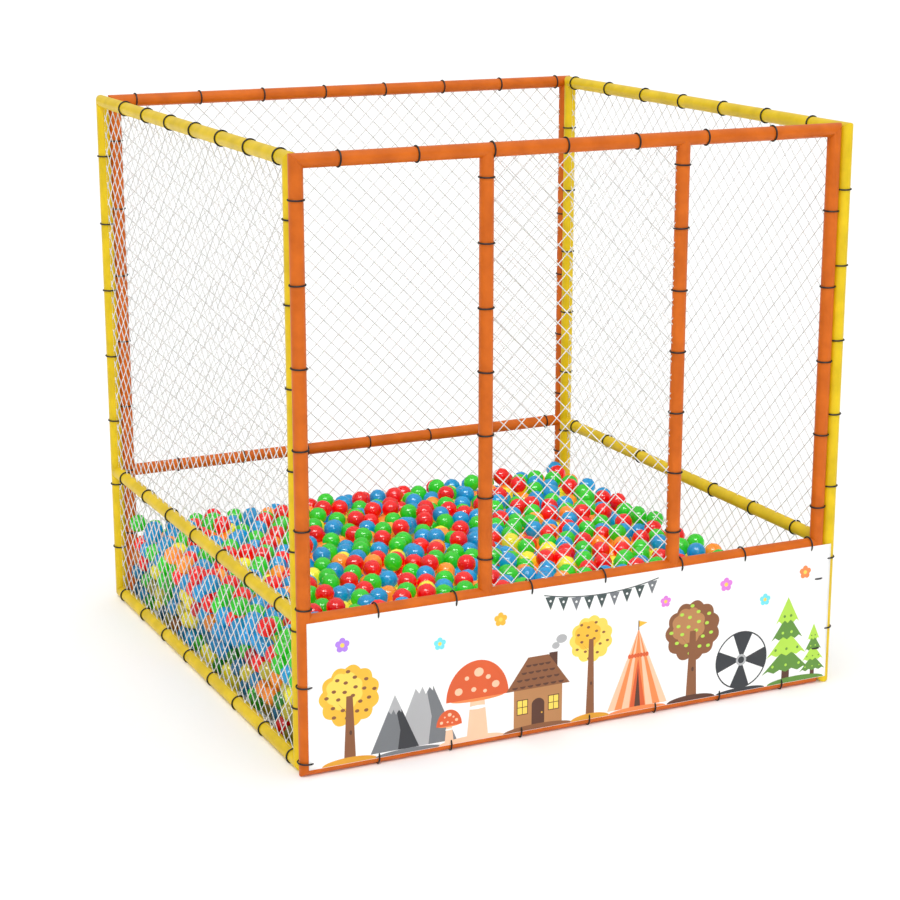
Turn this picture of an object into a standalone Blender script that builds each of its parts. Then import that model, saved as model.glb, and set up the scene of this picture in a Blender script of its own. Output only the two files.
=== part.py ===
"""Square ball pit of four foam-covered tube panels, with nets, a front banner and a heap of balls.

Metres, +Z up. The front panel faces -Y. The origin is on the floor, under the middle of the whole object.
The four panels stand in a pinwheel: each one is the front panel turned about the pit's middle by a quarter,
a half or three quarters of a turn, so each panel starts beside the end post of the one before it.
"""

import bmesh
import bpy
from math import cos, pi, radians, sin, sqrt, tan
from mathutils import Matrix, Vector, noise

# Overall sizes
PIT_SIDE = 2.0
PIT_HEIGHT = 1.96
MID_RAIL_HEIGHT = 0.51
# How far the door posts stand from the middle, as a share of half the pit's side
DOOR_POST_SHARE = 0.35

# Tube and foam
SLEEVE_DIAMETER = 0.046
STEEL_DIAMETER = 0.028
STEEL_WALL = 0.0015
SLIT_WIDTH = 0.0006
SLEEVE_SIDES = 12
STEEL_SIDES = 8
VENT_DIAMETER = 0.008

# Seating gap between pieces that touch on the real pit
GAP = 0.0003
# How far a cutter reaches past what it cuts
OVERRUN = 0.004
# Corners of one piece that are nearer than this are one corner
MERGE_DISTANCE = 0.0001

# Corner bolts and their weld nuts
BOLT_DIAMETER = 0.008
BOLT_HEAD_DIAMETER = 0.016
BOLT_HEAD_HEIGHT = 0.0045
BOLT_HEAD_CROWN_SHARE = 0.5
BOLT_END_DISTANCE = 0.25
BOLT_SIDES = 8
NUT_DIAMETER = 0.015
NUT_HEIGHT = 0.0055
NUT_SIDES = 6
FOAM_POCKET_CLEARANCE = 0.0008

# Edges sharper than these angles stay creased
TUBE_CREASE = radians(40)
FRAME_CREASE = radians(50)
BALL_CREASE = radians(80)

# Nets: the solid nets have a coarse mesh, with the real ones' outline and diamond shape
NET_MESH_PITCH = 0.42
NET_CORD_WIDTH = 0.005
NET_THICKNESS = 0.003

# Banner, and the ties that hold its top edge
BANNER_THICKNESS = 0.0008
TIE_WIDTH = 0.0045
TIE_THICKNESS = 0.0018
TIE_SLOT_CLEARANCE = 0.0004
TOP_TIE_COUNT = 7
BOTTOM_TIE_COUNT = 7
# The first tie's place and the ties' spacing, as shares of the rails' span between the posts' middles
TOP_TIE_START_SHARE = 0.12685
TOP_TIE_SPACING_SHARE = 0.14258
BOTTOM_TIE_START_SHARE = 0.12633
BOTTOM_TIE_SPACING_SHARE = 0.13367

# Balls
BALL_DIAMETER = 0.07
BALL_SPACING = 0.08
# How far a ball of the heap may lie from its even place
BALL_WANDER = 0.005
BED_TOP = 0.335
BED_WAVE_HEIGHT = 0.006
BED_WAVE_LENGTH = 1.1
DOME_RISE = 0.026
WALL_DOME_RISE = 0.024
LOOSE_BALL_PROUD = 0.012

# Where the loose balls lie, as shares of half the pit's side from its middle
LOOSE_BALL_PLACE_SHARES = {
    "loose_ball_green_1": (0.80, 0.78),
    "loose_ball_green_2": (0.05, 0.55),
    "loose_ball_red_1": (-0.16, 0.76),
    "loose_ball_red_2": (-0.30, -0.22),
    "loose_ball_blue_1": (0.80, -0.34),
    "loose_ball_yellow_1": (0.30, 0.10),
}

# Worked out from the sizes above
HALF_SIDE = PIT_SIDE / 2
SLEEVE_RADIUS = SLEEVE_DIAMETER / 2
STEEL_RADIUS = STEEL_DIAMETER / 2
STEEL_FLAT = STEEL_RADIUS * cos(pi / STEEL_SIDES)
STEEL_BORE_FLAT = STEEL_FLAT - STEEL_WALL
FOAM_BORE = STEEL_RADIUS + GAP
MITRE_BACKOFF = GAP / 2 * sqrt(2)

# The banner and its ties stand out in front of the foam, so the panels stand that much behind the middle
TIE_INNER = SLEEVE_RADIUS + GAP + BANNER_THICKNESS + GAP
TIE_OUTER = TIE_INNER + TIE_THICKNESS
PIT_MIDDLE_Y = (TIE_OUTER - SLEEVE_RADIUS) / 2

# One panel in its own frame: X along it, Y through it, from the pit's middle
PANEL_Y = -HALF_SIDE + SLEEVE_RADIUS
POST_SPACING = SLEEVE_DIAMETER + GAP
START_X = -HALF_SIDE + SLEEVE_RADIUS
END_X = HALF_SIDE - SLEEVE_RADIUS - POST_SPACING
LOW_Z = SLEEVE_RADIUS
HIGH_Z = PIT_HEIGHT - SLEEVE_RADIUS
SPAN = END_X - START_X
RISE = HIGH_Z - LOW_Z
DOOR_POSTS = {"left_door_post": -DOOR_POST_SHARE * HALF_SIDE, "right_door_post": DOOR_POST_SHARE * HALF_SIDE}
BOLT_HEIGHTS = {"lower": BOLT_END_DISTANCE, "upper": PIT_HEIGHT - BOLT_END_DISTANCE}

X = Vector((1, 0, 0))
Y = Vector((0, 1, 0))
Z = Vector((0, 0, 1))


def clear_scene():
    """Remove every object of the file that the script is run in."""
    for item in list(bpy.data.objects):
        bpy.data.objects.remove(item, do_unlink=True)


def principled(name, colour, roughness, metallic=0.0):
    """A plain material for one piece, from its linear colour."""
    material = bpy.data.materials.new(name)
    material.use_nodes = True
    shader = material.node_tree.nodes["Principled BSDF"]
    shader.inputs["Base Color"].default_value = (*colour, 1)
    shader.inputs["Roughness"].default_value = roughness
    shader.inputs["Metallic"].default_value = metallic
    material.diffuse_color = (*colour, 1)
    return material


FINISHES = {
    "orange_foam": ((0.79, 0.16, 0.03), 0.5, 0.0),
    "yellow_foam": ((0.86, 0.66, 0.05), 0.5, 0.0),
    "galvanised_steel": ((0.55, 0.56, 0.58), 0.4, 1.0),
    "zinc_plated_steel": ((0.65, 0.65, 0.63), 0.3, 1.0),
    "white_net_cord": ((0.85, 0.85, 0.85), 0.8, 0.0),
    "white_banner": ((0.9, 0.9, 0.9), 0.4, 0.0),
    "black_nylon": ((0.01, 0.008, 0.006), 0.4, 0.0),
    "mixed_balls": ((0.05, 0.3, 0.6), 0.25, 0.0),
    "green_ball": ((0.03, 0.53, 0.02), 0.25, 0.0),
    "red_ball": ((0.87, 0.014, 0.014), 0.25, 0.0),
    "blue_ball": ((0.02, 0.28, 0.64), 0.25, 0.0),
    "yellow_ball": ((0.87, 0.74, 0.03), 0.25, 0.0),
}


def axes_rotation(along, inward):
    """Rotation that turns local X to along and local Y to inward."""
    return Matrix((along, inward, along.cross(inward))).transposed().to_euler()


def add_object(
    name, bm, parent=None, location=(0, 0, 0), rotation=(0, 0, 0), finish=None, crease=TUBE_CREASE
):
    """Make an object from a bmesh, shaded smooth over edges below the crease angle, and free the bmesh."""
    bmesh.ops.recalc_face_normals(bm, faces=bm.faces[:])
    if bm.calc_volume(signed=True) < 0:
        bmesh.ops.reverse_faces(bm, faces=bm.faces[:])
    mesh = bpy.data.meshes.new(name)
    bm.to_mesh(mesh)
    bm.free()
    mesh.shade_smooth()
    mesh.set_sharp_from_angle(angle=crease)
    item = bpy.data.objects.new(name, mesh)
    bpy.context.collection.objects.link(item)
    item.parent = parent
    item.location = location
    item.rotation_euler = rotation
    if finish:
        mesh.materials.append(principled(name + "_" + finish, *FINISHES[finish]))
    return item


def add_cutter(name, bm, parent, location, rotation=(0, 0, 0)):
    """Make a hidden object that only serves a Boolean."""
    cutter = add_object(name, bm, parent, location, rotation)
    cutter.hide_render = True
    cutter.display_type = "WIRE"
    return cutter


def boolean(item, tool, operation):
    """Cut, or join, a tool's shape on an object."""
    modifier = item.modifiers.new(tool.name, "BOOLEAN")
    modifier.object = tool
    modifier.operation = operation
    modifier.solver = "EXACT"


def ring_points(flat_radius, sides, slit=0.0):
    """Corners of a regular section with a flat towards +first axis, split there by a slit if it has one."""
    corner_radius = flat_radius / cos(pi / sides)
    points = [
        (corner_radius * cos(2 * pi * (k + 0.5) / sides), corner_radius * sin(2 * pi * (k + 0.5) / sides))
        for k in range(sides)
    ]
    if slit:
        points = [(flat_radius, slit / 2), *points, (flat_radius, -slit / 2)]
    return points


def reach(offset):
    """How far the round side of a steel tube reaches at an offset from its middle."""
    return sqrt(STEEL_RADIUS**2 - offset**2)


def tube(outer_flat, inner_flat, sides, slit, start_at, end_at):
    """Tube along X. Its ends follow start_at and end_at, functions of the inward and sideways offsets."""
    bm = bmesh.new()
    outer = [bm.verts.new((0, a, b)) for a, b in ring_points(outer_flat, sides, slit)]
    inner = [bm.verts.new((0, a, b)) for a, b in ring_points(inner_flat, sides, slit)]
    pairs = list(zip(outer, inner))
    if not slit:
        pairs.append(pairs[0])
    for near, after in zip(pairs, pairs[1:]):
        bm.faces.new((near[0], after[0], after[1], near[1]))
    made = bmesh.ops.extrude_face_region(bm, geom=bm.faces[:])["geom"]
    far = [v for v in made if isinstance(v, bmesh.types.BMVert)]
    for v in outer + inner:
        v.co.x = start_at(v.co.y, v.co.z)
    for v in far:
        v.co.x = end_at(v.co.y, v.co.z)
    return bm


def turned(profile, sides):
    """Solid of revolution about X from (x, radius) pairs, with a flat towards +Y and flat ends."""
    bm = bmesh.new()
    rings = []
    for x, radius in profile:
        corners = ring_points(radius * cos(pi / sides), sides)
        rings.append([bm.verts.new((x, a, b)) for a, b in corners])
    for low, high in zip(rings, rings[1:]):
        for k in range(sides):
            bm.faces.new((low[k], low[k - 1], high[k - 1], high[k]))
    bm.faces.new(rings[0])
    bm.faces.new(rings[-1])
    return bm


def square(start, end):
    """End functions of a tube cut square at both ends."""
    return (lambda a, b: start), (lambda a, b: end)


def mitred(length, backoff):
    """End functions of a tube cut at 45 degrees at both ends, shorter on its inward side."""
    return (lambda a, b: a + backoff), (lambda a, b: length - a - backoff)


def embedded(length):
    """End functions of a steel tube that reaches half-way into the walls of the tubes it is welded to."""
    return (lambda a, b: reach(b) - STEEL_WALL / 2), (lambda a, b: length - reach(b) + STEEL_WALL / 2)


def add_sleeve(name, panel, finish, origin, along, inward, ends):
    """One length of slit foam sleeve."""
    bm = tube(SLEEVE_RADIUS, FOAM_BORE, SLEEVE_SIDES, SLIT_WIDTH, *ends)
    return add_object(name, bm, panel, origin, axes_rotation(along, inward), finish)


def hollow_end(sleeve, panel, origin, along):
    """Hollow the end of a sleeve to the round side of the sleeve that it butts against."""
    radius = (SLEEVE_RADIUS + GAP) / cos(pi / SLEEVE_SIDES)
    profile = [(-SLEEVE_RADIUS - OVERRUN, radius), (SLEEVE_RADIUS + OVERRUN, radius)]
    across = Z if along.x else X
    name = f"{sleeve.name}_end_{len(sleeve.modifiers)}"
    cutter = add_cutter(name, turned(profile, SLEEVE_SIDES), panel, origin, axes_rotation(along, across))
    boolean(sleeve, cutter, "DIFFERENCE")


def cut_for_tube(sleeve, panel, origin, direction):
    """Open a sleeve where a welded steel tube leaves it."""
    profile = [(0, FOAM_BORE), (SLEEVE_RADIUS + OVERRUN, FOAM_BORE)]
    across = Y if direction.x else X
    rotation = axes_rotation(direction, across)
    cutter = add_cutter(sleeve.name + "_tube_opening", turned(profile, SLEEVE_SIDES), panel, origin, rotation)
    boolean(sleeve, cutter, "DIFFERENCE")


def cut_for_bolt(sleeve, panel, origin, direction, pocket_depth, pocket_diameter, label):
    """Open a sleeve for a corner bolt's shank, and on the far side of its bore for the head or nut."""
    pocket_radius = pocket_diameter / 2 + FOAM_POCKET_CLEARANCE
    shank_radius = BOLT_DIAMETER / 2 + FOAM_POCKET_CLEARANCE
    profile = [
        (-STEEL_FLAT - pocket_depth - FOAM_POCKET_CLEARANCE, pocket_radius),
        (0, pocket_radius),
        (0, shank_radius),
        (SLEEVE_RADIUS + OVERRUN, shank_radius),
    ]
    rotation = axes_rotation(direction, Z)
    cutter = add_cutter(sleeve.name + label, turned(profile, BOLT_SIDES), panel, origin, rotation)
    boolean(sleeve, cutter, "DIFFERENCE")


def add_steel_loop(name, panel):
    """The four mitred steel tubes of one panel, welded into a closed loop with one bore."""
    rail_ends = mitred(SPAN, 0)
    post_ends = mitred(RISE, 0)
    low_start = Vector((START_X, PANEL_Y, LOW_Z))
    high_start = Vector((START_X, PANEL_Y, HIGH_Z))
    low_end = Vector((END_X, PANEL_Y, LOW_Z))
    runs = [
        (low_start, X, Z, rail_ends),
        (high_start, X, -Z, rail_ends),
        (low_start, Z, X, post_ends),
        (low_end, Z, -X, post_ends),
    ]
    loop = bmesh.new()
    for origin, along, inward, ends in runs:
        piece = tube(STEEL_FLAT, STEEL_BORE_FLAT, STEEL_SIDES, 0, *ends)
        bmesh.ops.recalc_face_normals(piece, faces=piece.faces[:])
        ends_of_tube = [f for f in piece.faces if len({round(v.co.y**2 + v.co.z**2, 9) for v in f.verts}) > 1]
        bmesh.ops.delete(piece, geom=ends_of_tube, context="FACES_ONLY")
        turn = axes_rotation(along, inward).to_matrix().to_4x4()
        bmesh.ops.transform(piece, matrix=Matrix.Translation(origin) @ turn, verts=piece.verts[:])
        copy = bpy.data.meshes.new(name)
        piece.to_mesh(copy)
        piece.free()
        loop.from_mesh(copy)
        bpy.data.meshes.remove(copy)
    bmesh.ops.remove_doubles(loop, verts=loop.verts[:], dist=MERGE_DISTANCE)
    mesh = bpy.data.meshes.new(name)
    loop.to_mesh(mesh)
    loop.free()
    mesh.shade_smooth()
    mesh.set_sharp_from_angle(angle=FRAME_CREASE)
    frame = bpy.data.objects.new(name, mesh)
    bpy.context.collection.objects.link(frame)
    frame.parent = panel
    mesh.materials.append(principled(name + "_galvanised_steel", *FINISHES["galvanised_steel"]))
    return frame


def weld_tube(frame, label, panel, origin, along, inward, length):
    """Weld one more tube between two tubes of a frame, and drill a vent into its bore."""
    bm = tube(STEEL_FLAT - GAP, STEEL_BORE_FLAT, STEEL_SIDES, 0, *embedded(length))
    rotation = axes_rotation(along, inward)
    boolean(frame, add_cutter(frame.name + label, bm, panel, origin, rotation), "UNION")
    profile = [(0, VENT_DIAMETER / 2), (STEEL_FLAT + OVERRUN, VENT_DIAMETER / 2)]
    vent = add_cutter(frame.name + label + "_vent", turned(profile, BOLT_SIDES), panel, origin, rotation)
    boolean(frame, vent, "DIFFERENCE")


def add_bolting(frame, panel):
    """Weld nuts on the end post, and bolt holes through both posts."""
    hole_radius = BOLT_DIAMETER / 2 + GAP
    through = STEEL_FLAT + NUT_HEIGHT + OVERRUN
    hole = [(-through, hole_radius), (through, hole_radius)]
    nut = [(STEEL_FLAT - STEEL_WALL / 2, NUT_DIAMETER / 2), (STEEL_FLAT + NUT_HEIGHT, NUT_DIAMETER / 2)]
    for label, height in BOLT_HEIGHTS.items():
        start = (START_X, PANEL_Y, height)
        end = (END_X, PANEL_Y, height)
        facing = axes_rotation(-X, Z)
        welded = add_cutter(f"{frame.name}_{label}_nut", turned(nut, NUT_SIDES), panel, end, facing)
        boolean(frame, welded, "UNION")
        for tag, place, along in (("start", start, Y), ("end", end, X)):
            name = f"{frame.name}_{label}_{tag}_hole"
            drill = add_cutter(name, turned(hole, BOLT_SIDES), panel, place, axes_rotation(along, Z))
            boolean(frame, drill, "DIFFERENCE")


def add_corner_bolts(corner, panel):
    """Two round-headed bolts from a panel's start post, through the neighbour's end post, into its nuts."""
    head_under = -STEEL_FLAT - GAP
    shank_end = POST_SPACING + STEEL_FLAT + NUT_HEIGHT
    profile = [
        (head_under - BOLT_HEAD_HEIGHT, BOLT_HEAD_DIAMETER / 2 * BOLT_HEAD_CROWN_SHARE),
        (head_under - BOLT_HEAD_HEIGHT / 2, BOLT_HEAD_DIAMETER / 2),
        (head_under, BOLT_HEAD_DIAMETER / 2),
        (head_under, BOLT_DIAMETER / 2),
        (shank_end, BOLT_DIAMETER / 2),
    ]
    for label, height in BOLT_HEIGHTS.items():
        name = f"corner_bolt_{corner}_{label}"
        place = (START_X, PANEL_Y, height)
        add_object(name, turned(profile, BOLT_SIDES), panel, place, axes_rotation(Y, Z), "zinc_plated_steel")


def add_net(name, panel, left, right, low, high):
    """One flat net with a rim cord, in the middle plane of the tubes, between the faces of the sleeves."""
    width = right - left - 2 * (SLEEVE_RADIUS + GAP)
    height = high - low - 2 * (SLEEVE_RADIUS + GAP)
    columns = max(1, round(width / NET_MESH_PITCH))
    rows = max(1, round(height / NET_MESH_PITCH))
    bm = bmesh.new()
    bmesh.ops.create_grid(bm, x_segments=1, y_segments=1, size=1)
    bmesh.ops.scale(bm, vec=(width / 2, height / 2, 1), verts=bm.verts[:])
    for slant in (1, -1):
        normal = Vector((slant * columns / width, rows / height, 0))
        for k in range(1, columns + rows):
            middle = Vector((0, (k - (columns + rows) / 2) * height / rows, 0))
            geometry = bm.verts[:] + bm.edges[:] + bm.faces[:]
            bmesh.ops.bisect_plane(bm, geom=geometry, dist=MERGE_DISTANCE, plane_co=middle, plane_no=normal)
    gaps = bm.faces[:]
    bmesh.ops.inset_individual(bm, faces=gaps, thickness=NET_CORD_WIDTH / 2, use_even_offset=True)
    bmesh.ops.delete(bm, geom=gaps, context="FACES_ONLY")
    made = bmesh.ops.extrude_face_region(bm, geom=bm.faces[:])["geom"]
    raised = [v for v in made if isinstance(v, bmesh.types.BMVert)]
    bmesh.ops.translate(bm, vec=(0, 0, NET_THICKNESS), verts=raised)
    bmesh.ops.translate(bm, vec=(0, 0, -NET_THICKNESS / 2), verts=bm.verts[:])
    middle = ((left + right) / 2, PANEL_Y, (low + high) / 2)
    add_object(name, bm, panel, middle, axes_rotation(X, Z), "white_net_cord")


def add_panel(side, turn, finish, post_names, is_front):
    """One panel: its empty, steel frame, sleeves and nets, with the nuts and holes for the corner bolts."""
    panel = bpy.data.objects.new(side + "_panel", None)
    bpy.context.collection.objects.link(panel)
    panel.location = (0, PIT_MIDDLE_Y, 0)
    panel.rotation_euler = (0, 0, turn * pi / 2)

    low_start = Vector((START_X, PANEL_Y, LOW_Z))
    low_end = Vector((END_X, PANEL_Y, LOW_Z))
    high_start = Vector((START_X, PANEL_Y, HIGH_Z))
    mid_start = Vector((START_X, PANEL_Y, MID_RAIL_HEIGHT))
    mid_end = Vector((END_X, PANEL_Y, MID_RAIL_HEIGHT))

    rail_ends = mitred(SPAN, MITRE_BACKOFF)
    post_ends = mitred(RISE, MITRE_BACKOFF)
    start_name, end_name = (f"{side}_{post}_post_sleeve" for post in post_names)
    start_post = add_sleeve(start_name, panel, finish, low_start, Z, X, post_ends)
    end_post = add_sleeve(end_name, panel, finish, low_end, Z, -X, post_ends)
    top_rail = add_sleeve(side + "_top_rail_sleeve", panel, finish, high_start, X, -Z, rail_ends)
    mid_rail = add_sleeve(side + "_mid_rail_sleeve", panel, finish, mid_start, X, Z, square(0, SPAN))
    hollow_end(mid_rail, panel, mid_start, Z)
    hollow_end(mid_rail, panel, mid_end, Z)
    add_sleeve(side + "_bottom_rail_sleeve", panel, finish, low_start, X, Z, rail_ends)

    frame = add_steel_loop(side + "_steel_frame", panel)
    weld_tube(frame, "_mid_rail", panel, mid_start, X, Z, SPAN)
    cut_for_tube(start_post, panel, mid_start, X)
    cut_for_tube(end_post, panel, mid_end, -X)

    if is_front:
        door_rise = HIGH_Z - MID_RAIL_HEIGHT
        for post, x in DOOR_POSTS.items():
            foot = Vector((x, PANEL_Y, MID_RAIL_HEIGHT))
            head = Vector((x, PANEL_Y, HIGH_Z))
            inward = X if x < 0 else -X
            sleeve = add_sleeve(f"{side}_{post}_sleeve", panel, finish, foot, Z, inward, square(0, door_rise))
            hollow_end(sleeve, panel, foot, X)
            hollow_end(sleeve, panel, head, X)
            weld_tube(frame, "_" + post, panel, foot, Z, inward, door_rise)
            cut_for_tube(mid_rail, panel, foot, Z)
            cut_for_tube(top_rail, panel, head, -Z)
        above_ties = MID_RAIL_HEIGHT + TIE_OUTER - SLEEVE_RADIUS
        add_net(side + "_middle_net", panel, *DOOR_POSTS.values(), above_ties, HIGH_Z)
    else:
        add_net(side + "_upper_net", panel, START_X, END_X, MID_RAIL_HEIGHT, HIGH_Z)
        add_net(side + "_lower_net", panel, START_X, END_X, LOW_Z, MID_RAIL_HEIGHT)

    add_bolting(frame, panel)
    for label, height in BOLT_HEIGHTS.items():
        start = (START_X, PANEL_Y, height)
        end = (END_X, PANEL_Y, height)
        cut_for_bolt(start_post, panel, start, Y, BOLT_HEAD_HEIGHT, BOLT_HEAD_DIAMETER, f"_{label}_bolt_hole")
        cut_for_bolt(end_post, panel, end, X, NUT_HEIGHT, NUT_DIAMETER, f"_{label}_nut_hole")
    return panel


def beside_door_post(x):
    """A tie's place along the mid rail, moved to the near side of a door post if it would run into one."""
    clear = SLEEVE_RADIUS + TIE_WIDTH / 2 + GAP
    for post_x in DOOR_POSTS.values():
        if abs(x - post_x) < clear:
            return post_x + (clear if x > post_x else -clear)
    return x


def slot_cutter(centres):
    """One mesh of upright slots through the banner, each round the path of a tie."""
    facet = pi / SLEEVE_SIDES
    near = TIE_INNER * tan(facet)
    far = TIE_OUTER * tan(facet) + (TIE_OUTER - SLEEVE_RADIUS) / tan(2 * facet) + GAP
    bm = bmesh.new()
    for x, rail_height, side in centres:
        made = bmesh.ops.create_cube(bm, size=1)["verts"]
        size = (TIE_WIDTH + 2 * TIE_SLOT_CLEARANCE, BANNER_THICKNESS + OVERRUN, far - near)
        bmesh.ops.scale(bm, vec=size, verts=made)
        middle = (x, -HALF_SIDE - GAP - BANNER_THICKNESS / 2, rail_height + side * (near + far) / 2)
        bmesh.ops.translate(bm, vec=middle, verts=made)
    return bm


def add_banner(panel):
    """The banner in front of the low wall, from tube middle to tube middle, with its slots for the ties."""
    left, right = START_X, HALF_SIDE - SLEEVE_RADIUS
    bm = bmesh.new()
    bmesh.ops.create_cube(bm, size=1)
    bmesh.ops.scale(bm, vec=(right - left, BANNER_THICKNESS, MID_RAIL_HEIGHT - LOW_Z), verts=bm.verts[:])
    middle = ((left + right) / 2, -HALF_SIDE - GAP - BANNER_THICKNESS / 2, (MID_RAIL_HEIGHT + LOW_Z) / 2)
    bmesh.ops.translate(bm, vec=middle, verts=bm.verts[:])
    banner = add_object("front_banner", bm, panel, finish="white_banner")
    top_shares = [TOP_TIE_START_SHARE + k * TOP_TIE_SPACING_SHARE for k in range(TOP_TIE_COUNT)]
    bottom_shares = [BOTTOM_TIE_START_SHARE + k * BOTTOM_TIE_SPACING_SHARE for k in range(BOTTOM_TIE_COUNT)]
    top = [(beside_door_post(START_X + share * SPAN), MID_RAIL_HEIGHT, -1) for share in top_shares]
    bottom = [(START_X + share * SPAN, LOW_Z, 1) for share in bottom_shares]
    slots = add_cutter("front_banner_slots", slot_cutter(top + bottom), panel, (0, 0, 0))
    boolean(banner, slots, "DIFFERENCE")
    for number, (x, height, _) in enumerate(top, 1):
        bm = tube(TIE_OUTER, TIE_INNER, SLEEVE_SIDES, 0, *square(-TIE_WIDTH / 2, TIE_WIDTH / 2))
        place = (x, PANEL_Y, height)
        add_object(f"banner_tie_{number}", bm, panel, place, axes_rotation(X, Z), "black_nylon")


def heave(x, y):
    """Height of the heap's surface at a place, at the tops of its balls."""
    turn = 2 * pi / BED_WAVE_LENGTH
    return BED_TOP + BED_WAVE_HEIGHT * (cos(turn * x) * cos(turn * y / 2) + sin(turn * (y - x) / 2))


def wander(column, row, layer):
    """How far a ball lies from its even place: a fixed random vector for each place."""
    shares = noise.cell_vector((column, row, layer)) * 2 - Vector((1, 1, 1))
    return shares * BALL_WANDER


def outline_point(distance, inset, edge):
    """A point of the heap's round-cornered outline, at a distance along it and an inset from it."""
    corner = BALL_DIAMETER / 2
    straight = 2 * (edge - corner)
    quarter = straight + corner * pi / 2
    turns, along = divmod(distance, quarter)
    if along < straight:
        point = Vector((edge - inset, along - edge + corner, 0))
    else:
        angle = (along - straight) / corner
        reach = corner - inset
        point = Vector((edge - corner + reach * cos(angle), edge - corner + reach * sin(angle), 0))
    return Matrix.Rotation(turns * pi / 2, 3, "Z") @ point


def cell_corners(width, row_step):
    """Corners of a six-sided cell about its middle, for cells set in staggered rows."""
    ends = [(width / 2, -row_step / 3), (width / 2, row_step / 3), (0, row_step * 2 / 3)]
    return ends + [(-a, -b) for a, b in ends]


def add_wall_domes(bm, edge):
    """The heap's sides: a shallow dome for each ball that lies against a wall, in staggered rows."""
    corner = BALL_DIAMETER / 2
    length = 4 * (2 * (edge - corner) + corner * pi / 2)
    columns = 4 * round(length / 4 / BALL_SPACING)
    width = length / columns
    row_step = BALL_SPACING * sqrt(3) / 2
    corners = cell_corners(width, row_step)
    rows = int((BED_TOP - BALL_DIAMETER) / row_step) + 1
    for j in range(rows):
        height = BALL_DIAMETER / 2 + j * row_step
        for i in range(columns):
            along = (i + j % 2 / 2) * width
            shift = wander(i, j, 1)
            top = outline_point((along + shift.x) % length, 0, edge)
            top.z = height + shift.z
            rim = [outline_point((along + a) % length, WALL_DOME_RISE, edge) for a, _ in corners]
            for point, (_, b) in zip(rim, corners):
                point.z = height + b
            peak = bm.verts.new(top)
            ring = [bm.verts.new(point) for point in rim]
            for k in range(6):
                bm.faces.new((ring[k - 1], ring[k], peak))
    bmesh.ops.remove_doubles(bm, verts=bm.verts[:], dist=MERGE_DISTANCE)
    base = [e for e in bm.edges if e.is_boundary and all(v.co.z < BALL_DIAMETER / 2 for v in e.verts)]
    for v in {v for e in base for v in e.verts}:
        v.co.z = 0
    bmesh.ops.contextual_create(bm, geom=base)


def add_top_domes(bm, edge):
    """The heap's top: a dome for each ball of its top layer. It returns the cups for the loose balls."""
    reach = edge - BALL_DIAMETER / 2
    columns = round(2 * reach / BALL_SPACING)
    rows = 2 * round(reach / (BALL_SPACING * sqrt(3) / 2))
    width, row_step = 2 * reach / columns, 2 * reach / rows
    places = {
        (i, j): (-reach + (i + j % 2 / 2) * width, -reach + j * row_step)
        for j in range(rows + 1)
        for i in range(columns + 1 - j % 2)
    }
    wanted = {name: (a * HALF_SIDE, b * HALF_SIDE) for name, (a, b) in LOOSE_BALL_PLACE_SHARES.items()}
    cups = {
        min(places.values(), key=lambda p, w=target: (p[0] - w[0]) ** 2 + (p[1] - w[1]) ** 2): name
        for name, target in wanted.items()
    }
    corners = cell_corners(width, row_step)
    for (i, j), (x, y) in places.items():
        rim = [bm.verts.new((x + a, y + b, heave(x + a, y + b) - DOME_RISE)) for a, b in corners]
        if (x, y) in cups:
            floor_height = heave(x, y) + LOOSE_BALL_PROUD - BALL_DIAMETER - GAP
            floor = [bm.verts.new((v.co.x, v.co.y, floor_height)) for v in rim]
            for k in range(6):
                bm.faces.new((rim[k - 1], rim[k], floor[k], floor[k - 1]))
            bm.faces.new(floor)
        else:
            shift = wander(i, j, 0)
            top = bm.verts.new((x + shift.x, y + shift.y, heave(x, y) + shift.z))
            for k in range(6):
                bm.faces.new((rim[k - 1], rim[k], top))
    bmesh.ops.remove_doubles(bm, verts=bm.verts[:], dist=MERGE_DISTANCE)
    for v in bm.verts:
        v.co.x = min(max(v.co.x, -edge), edge)
        v.co.y = min(max(v.co.y, -edge), edge)
    return cups


def add_ball_bed():
    """The heap of balls as one solid, with the balls' domes on its top and on its four sides."""
    edge = HALF_SIDE - SLEEVE_DIAMETER - GAP
    bm = bmesh.new()
    add_wall_domes(bm, edge)
    walls = bpy.data.meshes.new("heap_walls")
    bm.to_mesh(walls)
    bm.clear()
    cups = add_top_domes(bm, edge)
    bm.from_mesh(walls)
    bpy.data.meshes.remove(walls)
    bmesh.ops.bridge_loops(bm, edges=[e for e in bm.edges if e.is_boundary])
    add_object("ball_bed", bm, location=(0, PIT_MIDDLE_Y, 0), finish="mixed_balls", crease=BALL_CREASE)
    return cups


def add_loose_balls(cups):
    """Separate balls that lie in the cups of the heap's top layer."""
    for (x, y), name in cups.items():
        bm = bmesh.new()
        bmesh.ops.create_icosphere(bm, subdivisions=2, radius=BALL_DIAMETER / 2)
        place = (x, y + PIT_MIDDLE_Y, heave(x, y) + LOOSE_BALL_PROUD - BALL_DIAMETER / 2)
        colour = name.split("_")[2]
        add_object(name, bm, location=place, finish=colour + "_ball", crease=BALL_CREASE)


def build():
    """Make the whole pit."""
    clear_scene()
    front = add_panel("front", 0, "orange_foam", ("left", "right"), True)
    right = add_panel("right", 1, "yellow_foam", ("front", "back"), False)
    back = add_panel("back", 2, "orange_foam", ("right", "left"), False)
    left = add_panel("left", 3, "yellow_foam", ("back", "front"), False)
    add_corner_bolts("front_left", front)
    add_corner_bolts("front_right", right)
    add_corner_bolts("back_right", back)
    add_corner_bolts("back_left", left)
    add_banner(front)
    add_loose_balls(add_ball_bed())


build()
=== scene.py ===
"""Ball pit: foam-covered tubes, nets, a printed banner and a heap of balls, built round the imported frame."""

from math import cos, hypot, pi, radians, sin, sqrt

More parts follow.
